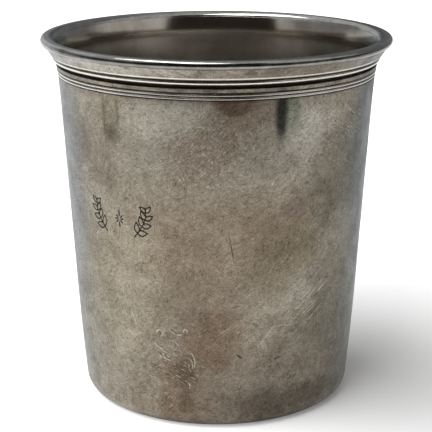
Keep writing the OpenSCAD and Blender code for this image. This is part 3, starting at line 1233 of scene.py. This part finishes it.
@dataclass(frozen=True)
class Engraving:
    """A small star between two leafy sprigs, cut into the wall."""

    azimuth: float = -37.5
    height: float = 44.7
    wide: float = 19.5
    tall: float = 9.6
    cut_depth: float = 0.1
    line: float = 0.36
    sprig_gap: float = 2.8
    sprig_wide: float = 4.8
    sprig_tall: float = 6.6
    leaves: int = 4
    leaf_long: float = 2.5
    leaf_wide: float = 1.3
    leaf_lean: float = 46.0
    leaf_steps: int = 6
    leaf_fullness: float = 0.8
    leaf_line: float = 0.85
    leaf_shrink: float = 0.35
    first_leaf: float = 0.6
    bare_tip: float = 0.3
    stem_points: int = 9
    stem_foot: float = 0.2
    stem_bow: float = 0.62
    stem_sweep: float = 0.62
    upright_ray: Pair = (0.7, 2.1)
    other_ray: Pair = (0.45, 1.2)
    ray_widths: tuple[float, float, float] = (0.3, 0.42, 0.08)

    def cuts(self) -> list[GraverCut]:
        """Every cut of the ornament."""
        star = [self._ray(angle) for angle in range(0, 360, 45)]
        sprig = self._sprig()
        mirrored = [GraverCut(tuple((-x, y) for x, y in cut.points), cut.widths) for cut in sprig]
        return star + sprig + mirrored

    def _ray(self, angle: float) -> GraverCut:
        """One ray of the star, the upright ones the longest."""
        near, far = self.upright_ray if angle % 180 == 90 else self.other_ray
        way = np.array([math.cos(math.radians(angle)), math.sin(math.radians(angle))])
        points = tuple(tuple(way * reach) for reach in (near, (near + far) / 2, far))
        return GraverCut(points, self.ray_widths)

    def _stem(self, share: float) -> np.ndarray:
        """The point of the right-hand stem at a share of its length."""
        bow = self.stem_bow * math.sin(math.pi * self.stem_sweep * share)
        x = self.sprig_gap + self.sprig_wide * (self.stem_foot + bow)
        return np.array([x, self.sprig_tall * (share - 0.5)])

    def _sprig(self) -> list[GraverCut]:
        """The right-hand sprig: its stem, and leaves in pairs that grow smaller to the tip."""
        stem = [self._stem(share) for share in np.linspace(0, 1, self.stem_points)]
        widths = np.linspace(self.line, self.line / 2, self.stem_points)
        cuts = [GraverCut(tuple(map(tuple, stem)), tuple(widths))]
        for i in range(self.leaves):
            share = (i + self.first_leaf) / (self.leaves + self.bare_tip)
            root, ahead = self._stem(share), self._stem(share + 0.05)
            along = (ahead - root) / np.linalg.norm(ahead - root)
            size = 1 - self.leaf_shrink * share
            for side in (-1, 1):
                cuts += self._leaf(root, along, side * self.leaf_lean, size)
        return cuts

    def _leaf(self, root: np.ndarray, along: np.ndarray, lean: float, size: float) -> list[GraverCut]:
        """The two curved cuts that outline one leaf.

        Args:
            root: Where it leaves the stem.
            along: The stem's direction there.
            lean: The angle between the stem and the leaf.
            size: Its size, as a share of the largest leaf.

        Returns:
            The cuts.
        """
        turn = math.radians(lean)
        way = np.array([
            along[0] * math.cos(turn) - along[1] * math.sin(turn),
            along[0] * math.sin(turn) + along[1] * math.cos(turn),
        ])
        beside = np.array([-way[1], way[0]])
        shares = np.linspace(0, 1, self.leaf_steps)
        cuts = []
        for bulge in (-1, 1):
            out = bulge * self.leaf_wide / 2 * np.sin(np.pi * shares ** self.leaf_fullness)
            points = root + (way * (self.leaf_long * shares)[:, None] + beside * out[:, None]) * size
            cuts.append(GraverCut(tuple(map(tuple, points)), (self.line * self.leaf_line,) * self.leaf_steps))
        return cuts

    def depth(self, across: np.ndarray, up: np.ndarray) -> np.ndarray:
        """How deep the ornament is cut at points of the flat, from 0 to 1."""
        deepest = np.zeros_like(across)
        for cut in self.cuts():
            deepest = np.maximum(deepest, cut.depth(across, up))
        return deepest


@dataclass
class CupWall(TurnedPiece):
    """The spun wall, with its engraving and dents."""

    engraving: Engraving = Engraving()
    body_stretch: float = 1.0
    inside_stretch: float = 2.4
    collar_stretch: float = 0.35
    cuts_between: int = 11

    # The height under which all of the wall is foot, and counts as outside
    FOOT_TOP: ClassVar[float] = 0.5
    # How far under the wall's top the line inside it ends, and how many heights it is found at
    PART_END: ClassVar[float] = 0.8
    PART_STEPS: ClassVar[int] = 300
    # The height from which the wall has the collar's fine rows
    COLLAR_FROM: ClassVar[float] = 70

    def __post_init__(self) -> None:
        """Takes the line that parts the outside from the inside from the construction."""
        outline = TurnedOutline.of_node(self.node).points
        heights = np.linspace(self.FOOT_TOP, outline[:, 1].max() - self.PART_END, self.PART_STEPS)
        self.part_heights = heights
        self.part_radii = np.array([self._middle(outline, z) for z in heights])

    @staticmethod
    def _middle(outline: np.ndarray, height: float) -> float:
        """The radius halfway through the wall at a height."""
        ends = np.roll(outline, -1, axis=0)
        crossed = (outline[:, 1] - height) * (ends[:, 1] - height) <= 0
        start, end = outline[crossed], ends[crossed]
        share = (height - start[:, 1]) / np.where(end[:, 1] == start[:, 1], 1, end[:, 1] - start[:, 1])
        radii = np.sort(start[:, 0] + share * (end[:, 0] - start[:, 0]))
        return float((radii[-1] + radii[-2]) / 2) if len(radii) > 1 else float(radii[-1])

    def outward(self, places: np.ndarray) -> np.ndarray:
        """1 outside the middle of the wall and on the foot, and 0 inside."""
        radius = around(places)[0]
        part = np.interp(places[:, 2], self.part_heights, self.part_radii)
        low = places[:, 2] < self.FOOT_TOP
        return ((radius > part) | low).astype(float)

    def stretch(self, place: np.ndarray) -> float:
        """Short at the collar, longer on the body and longest inside."""
        spot = np.array([[place[0], 0.0, place[1]]])
        if not self.outward(spot)[0]:
            return self.inside_stretch
        return self.collar_stretch if place[1] > self.COLLAR_FROM else self.body_stretch

    def _apart(self, place: Vector) -> tuple[float, float]:
        """How far a point lies from the engraving's middle, along the round and up."""
        arc = math.atan2(place.x, -place.y) * SKIN_RADIUS - math.radians(self.engraving.azimuth) * SKIN_RADIUS
        return abs(arc), abs(place.z / MM - self.engraving.height)

    def refine(self) -> None:
        """Splits the faces under the engraving."""
        cut, net = self.engraving, bmesh.new()
        net.from_mesh(self.piece.data)
        chosen = []
        for face in net.faces:
            centre = face.calc_center_median()
            arc, up = self._apart(centre)
            outer = self.outward(np.array([[*centre]]) / MM)[0]
            if outer and arc < cut.wide / 2 and up < cut.tall / 2:
                chosen.append(face)
        edges = list({edge for face in chosen for edge in face.edges})
        bmesh.ops.subdivide_edges(net, edges=edges, cuts=self.cuts_between, use_grid_fill=True)
        bmesh.ops.triangulate(net, faces=[face for face in net.faces if len(face.verts) > 4])
        net.to_mesh(self.piece.data)
        net.free()
        log.info("engraving: %d faces split, %d in all", len(chosen), len(self.piece.data.polygons))

    def wear(self) -> None:
        """Cuts the engraving, then presses the dents in."""
        places, normals, cut = self.places(), self.normals(), self.engraving
        across = (around(places)[1] - math.radians(cut.azimuth)) * SKIN_RADIUS
        up = places[:, 2] - cut.height
        near = (np.abs(across) < cut.wide / 2) & (np.abs(up) < cut.tall / 2) & (self.outward(places) > 0.5)
        depth = np.zeros(len(places))
        depth[near] = cut.depth(across[near], up[near])
        self.write(Mark.ENGRAVED, depth)
        self.move(places - normals * (depth * cut.cut_depth)[:, None])
        super().wear()


@dataclass(frozen=True)
class Lamp:
    """A soft box that faces the cup."""

    name: str
    azimuth: float
    elevation: float
    distance_m: float
    wide_m: float
    tall_m: float
    power_w: float
    mirrored: bool = True

    def place(self) -> bpy.types.Object:
        """Makes the lamp.

        Returns:
            Its object.
        """
        light = bpy.data.lights.new(self.name, "AREA")
        light.shape = "RECTANGLE"
        light.size, light.size_y = self.wide_m, self.tall_m
        light.energy = self.power_w
        lamp = bpy.data.objects.new(self.name, light)
        turn, lift = math.radians(self.azimuth), math.radians(self.elevation)
        way = Vector((math.sin(turn) * math.cos(lift), -math.cos(turn) * math.cos(lift), math.sin(lift)))
        lamp.location = way * self.distance_m
        lamp.rotation_euler = way.to_track_quat("Z", "Y").to_euler()
        lamp.visible_camera = False
        lamp.visible_glossy = self.mirrored
        bpy.context.scene.collection.objects.link(lamp)
        return lamp


@dataclass(frozen=True)
class Zone:
    """A part of the surroundings, as the metal mirrors it."""

    azimuth: float
    half_width: float
    low: float
    high: float
    tint: Tint
    soft: float = 5.0

    def over(self, graph: Graph, turn: Feed, lift: Feed, under: Feed) -> bpy.types.NodeSocket:
        """Lays the zone over what is there.

        Args:
            graph: The world's tree.
            turn: The azimuth of the direction, in radians.
            lift: Its elevation, in radians.
            under: The colour so far.

        Returns:
            The new colour.
        """
        apart = graph.math("SUBTRACT", turn, math.radians(self.azimuth))
        away = graph.math("ABSOLUTE", graph.math("WRAP", apart, math.pi, -math.pi))
        soft = math.radians(self.soft)
        wide, low, high = math.radians(self.half_width), math.radians(self.low), math.radians(self.high)
        share = graph.span(away, wide + soft, wide - soft)
        share = graph.product(share, graph.span(lift, low - soft, low + soft))
        share = graph.product(share, graph.span(lift, high + soft, high - soft))
        return graph.mix(share, under, self.tint.linear())


@dataclass(frozen=True)
class Studio:
    """A white table, soft lamps, a white surround with the zones that the metal mirrors, and the camera."""

    lamps: tuple[Lamp, ...]
    zones: tuple[Zone, ...]
    sky: Tint
    table_front_m: float = 0.2
    table_back_m: float = 3.0
    table_left_m: float = 2.0
    table_right_m: float = 0.45
    table_tint: Tint = Tint(250, 250, 250)
    table_lift: float = 0.1
    table_far_lift: float = 0.5
    shadow_place_m: tuple[float, float] = (0.06, 0.02)
    shadow_reach_m: tuple[float, float] = (0.04, 0.105)
    fill: float = 0.2
    camera_away_m: float = 0.28721
    camera_height_m: float = 0.12041
    camera_pitch: float = 16.03
    camera_yaw: float = 0.019
    lens_mm: float = 112.18
    nearest_m: float = 0.01

    def build(self) -> None:
        """Sets up the whole studio."""
        self._table()
        self._surround()
        for lamp in self.lamps:
            lamp.place()
        self._camera()
        bpy.context.scene.view_settings.view_transform = "Standard"

    def _camera(self) -> None:
        """Puts the camera where the photograph was taken from."""
        lens = bpy.data.cameras.new("camera")
        lens.lens = self.lens_mm
        lens.clip_start = self.nearest_m
        camera = bpy.data.objects.new("camera", lens)
        camera.location = (0.0, -self.camera_away_m, self.camera_height_m)
        camera.rotation_euler = (math.radians(90 - self.camera_pitch), 0.0, math.radians(self.camera_yaw))
        bpy.context.scene.collection.objects.link(camera)
        bpy.context.scene.camera = camera

    def _table(self) -> None:
        """Lays a white table that keeps the cup's shadow and ends in front, outside the picture."""
        net = bmesh.new()
        corners = [(x, y, 0.0) for x, y in (
            (-self.table_left_m, -self.table_front_m),
            (self.table_right_m, -self.table_front_m),
            (self.table_right_m, self.table_back_m),
            (-self.table_left_m, self.table_back_m),
        )]
        net.faces.new([net.verts.new(corner) for corner in corners])
        mesh = bpy.data.meshes.new("table")
        net.to_mesh(mesh)
        net.free()
        table = bpy.data.objects.new("table", mesh)
        bpy.context.scene.collection.objects.link(table)
        made = bpy.data.materials.new("table_white")
        made.use_nodes = True
        made.node_tree.nodes.clear()
        graph = Graph(made.node_tree)
        shader = graph.node("ShaderNodeBsdfDiffuse", {"Color": self.table_tint.linear()})
        here = graph.node("ShaderNodeTexCoord").outputs["Object"]
        # For camera rays the table glows less near the cup's shadow and more further off; this glow is
        # painted light, which lightens the floor and the contact shadow away from the shadow's middle.
        away = graph.vector("DISTANCE", here, (*self.shadow_place_m, 0.0))
        lift = graph.span(away, *self.shadow_reach_m, self.table_lift, self.table_far_lift)
        seen = graph.product(graph.node("ShaderNodeLightPath").outputs["Is Camera Ray"], lift)
        mirrored = graph.product(self._mirrored(graph), self.table_lift)
        glow = graph.node("ShaderNodeEmission", {"Strength": graph.math("ADD", seen, mirrored)})
        both = graph.node("ShaderNodeAddShader", {0: shader.outputs[0], 1: glow.outputs[0]})
        graph.node("ShaderNodeOutputMaterial", {"Surface": both.outputs[0]})
        mesh.materials.append(made)

    @staticmethod
    def _mirrored(graph: Graph) -> bpy.types.NodeSocket:
        """1 where a mirror or a glass looks, and 0 otherwise."""
        rays = graph.node("ShaderNodeLightPath").outputs
        return graph.math("ADD", rays["Is Glossy Ray"], rays["Is Transmission Ray"], clamp=True)

    def _surround(self) -> None:
        """Makes the world: white where it is seen, its zones where metal mirrors it, and a plain fill."""
        world = bpy.data.worlds.new("surround")
        bpy.context.scene.world = world
        world.use_nodes = True
        world.node_tree.nodes.clear()
        graph = Graph(world.node_tree)
        parts = graph.parts(graph.node("ShaderNodeTexCoord").outputs["Generated"])
        turn, lift = graph.azimuth(parts), graph.math("ARCSINE", parts[2])
        mirrored: Feed = self.sky.linear()
        for zone in self.zones:
            mirrored = zone.over(graph, turn, lift, mirrored)
        glossy = self._mirrored(graph)
        camera = graph.node("ShaderNodeLightPath").outputs["Is Camera Ray"]
        shown = graph.math("ADD", glossy, camera, clamp=True)
        sky = graph.node("ShaderNodeBackground", {
            "Color": graph.mix(glossy, WHITE, mirrored),
            "Strength": graph.math("MAXIMUM", shown, self.fill),
        })
        graph.node("ShaderNodeOutputWorld", {"Surface": sky.outputs[0]})


def main() -> None:
    """Builds the studio and dresses each piece in turn."""
    logging.basicConfig(level=logging.INFO, format="%(message)s")
    Studio(
        lamps=(
            Lamp("side", -80.0, 50.0, 1.6, 3.4, 1.2, 35.0, mirrored=False),
            Lamp("top", -60.0, 72.0, 1.4, 1.25, 0.6, 9.5),
        ),
        sky=Tint(188, 188, 188),
        zones=(
            Zone(180.0, 60.0, -95.0, 25.0, Tint(150, 152, 154), 8.0),
            Zone(150.0, 30.0, -95.0, 34.0, Tint(104, 105, 107), 6.0),
            Zone(180.0, 11.0, -25.0, 25.0, Tint(66, 66, 67), 5.0),
            Zone(-140.0, 30.0, -95.0, 60.0, Tint(200, 204, 208), 14.0),
            Zone(140.0, 35.0, -95.0, 60.0, Tint(118, 121, 124), 14.0),
            Zone(-98.0, 36.0, 9.0, 30.0, Tint(130, 132, 134), 6.0),
            Zone(0.0, 115.0, -95.0, 9.0, Tint(86, 79, 70), 2.0),
            Zone(-4.0, 44.0, 7.0, 58.0, Tint(40, 37, 34), 2.0),
            Zone(0.0, 80.0, -95.0, 0.0, Tint(50, 46, 42), 3.0),
        ),
    ).build()
    lathe = LatheTree()
    shadow = CollarShadow(("cup_wall", "bead_wire", "reed_band", "lip_wire"))
    soot_and_shade_tint = Tint(34, 30, 27)
    wall = WallFinish(
        Slot.WALL, Tint(150, 142, 128), Tint(118, 108, 95), soot_and_shade_tint, 0.42, edge_tint=Tint(240, 249, 255),
    )
    base = SilverFinish(Slot.BASE, Tint(150, 142, 130), Tint(112, 102, 90), soot_and_shade_tint, 0.36)
    lip = SilverFinish(
        Slot.LIP, Tint(190, 188, 184), Tint(158, 155, 149), soot_and_shade_tint, 0.1, grain_depth=0.1, bump=0.05,
    )
    moulding = SilverFinish(
        Slot.MOULDING, Tint(196, 190, 181), Tint(160, 153, 142), soot_and_shade_tint, 0.22, grain_depth=0.15, bump=0.08,
    )
    pieces: Sequence[TurnedPiece] = (
        CupWall("cup_wall", wall, 168, waver=0.05, seed=3.0, dents=(
            Dent(-14.4, 17.3, 4.0, 2.4, 30.0, 0.09),
            Dent(-18.7, 14.7, 3.4, 2.2, -20.0, 0.08),
            Dent(-9.9, 12.9, 4.4, 3.0, 60.0, 0.1),
            Dent(-25.8, 11.8, 2.0, 2.0, 0.0, 0.06),
            Dent(-21.5, 2.4, 2.0, 1.4, 70.0, 0.1),
            Dent(-26.6, 2.2, 1.6, 1.4, 40.0, 0.08),
            Dent(24.8, 15.4, 2.6, 1.4, 0.0, 0.06),
            Dent(150.0, 30.0, 7.0, 5.0, 30.0, 0.16),
            Dent(-130.0, 12.0, 5.0, 4.0, 0.0, 0.12),
        )),
        TurnedPiece("base_disc", base, 192, longest=0.8, waver=0.0),
        LipWire(
            "lip_wire", lip, 360, soft_reach=0.2, longest=0.12, waver=0.03, waver_size=9.0, seed=7.0,
            dents=(
                Dent(-55.0, 78.1, 1.6, 0.9, 0.0, 0.08),
                Dent(-62.0, 77.9, 1.2, 0.7, 20.0, 0.06),
                Dent(-109.0, 78.4, 1.4, 0.9, 0.0, 0.08),
                Dent(31.0, 78.2, 1.4, 0.8, 10.0, 0.05),
                Dent(118.0, 78.4, 1.8, 1.0, 0.0, 0.07),
            ),
        ),
        TurnedPiece("bead_wire", moulding, 288, soft_reach=0.2, longest=0.1, waver=0.01, seed=11.0),
        TurnedPiece("reed_band", moulding, 288, soft_reach=0.2, longest=0.1, waver=0.01, seed=12.0),
    )
    for part in pieces:
        made = part.build(lathe, shadow)
        log.info("%s: %d faces", made.name, len(made.data.polygons))


if __name__ == "__main__":
    main()
